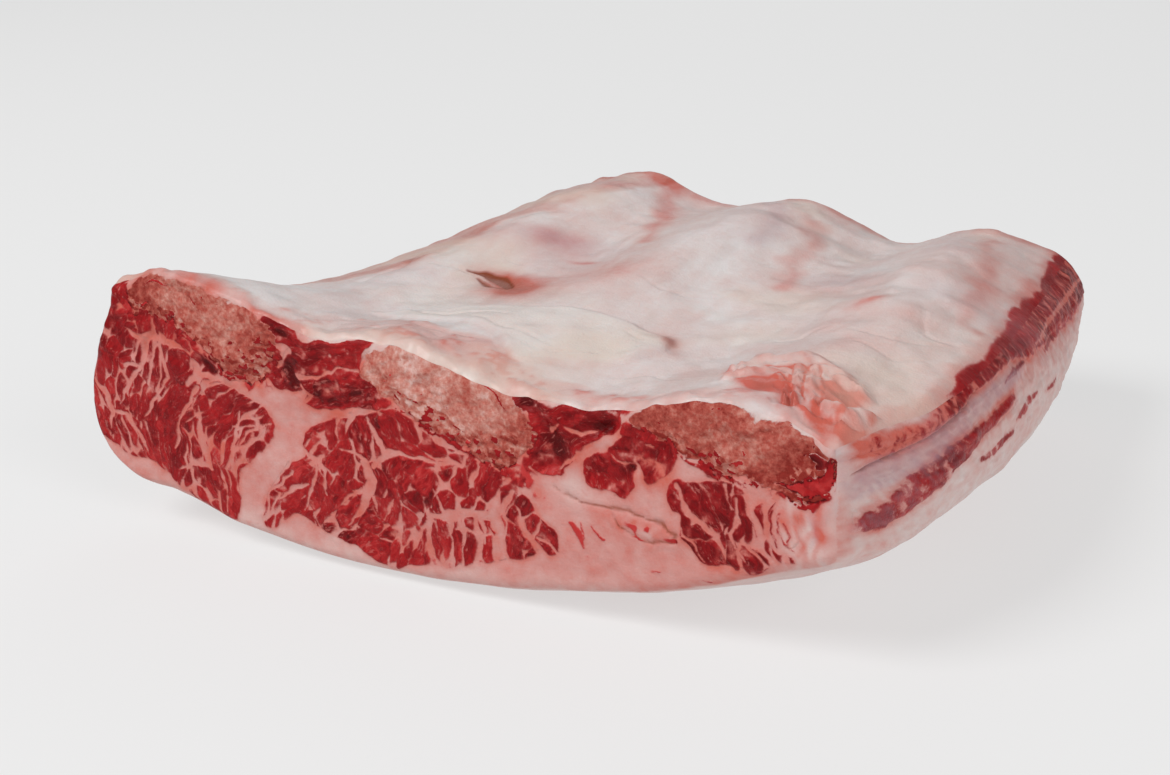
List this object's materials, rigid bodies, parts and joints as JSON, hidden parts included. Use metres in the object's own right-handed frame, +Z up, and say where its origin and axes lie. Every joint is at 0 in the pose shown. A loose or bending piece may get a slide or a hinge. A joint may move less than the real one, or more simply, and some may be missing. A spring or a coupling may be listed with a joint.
{
  "type": "raw beef short ribs",
  "caption": "Raw slab of beef short ribs with cut rib ends, marbled muscle between layers of fat and a pale membrane over the rib side.",
  "frame": {"origin": "middle of the footprint, on the surface that the slab lies on", "axes": "+X across the ribs to the right as seen at the cut face, +Y along the ribs away from that face, +Z up to the rib side"},
  "size_m": [0.2661, 0.222, 0.0852],
  "materials": {
    "fat": "soft, slightly moist, pale pink",
    "membrane": "thin, moist, pinkish white",
    "bone": "sawn, rough, pinkish grey",
    "muscle": "raw, moist, dark red with white marbling"
  },
  "bodies": {
    "root": {"fat_body": "fat", "membrane": "membrane", "rib_bone_1": "bone", "rib_bone_2": "bone", "rib_bone_3": "bone", "muscle_left": "muscle", "muscle_middle": "muscle", "muscle_right": "muscle", "muscle_strip": "muscle", "intercostal_1": "muscle", "intercostal_2": "muscle", "intercostal_right": "muscle", "flank_band": "muscle"}
  },
  "joints": []
}
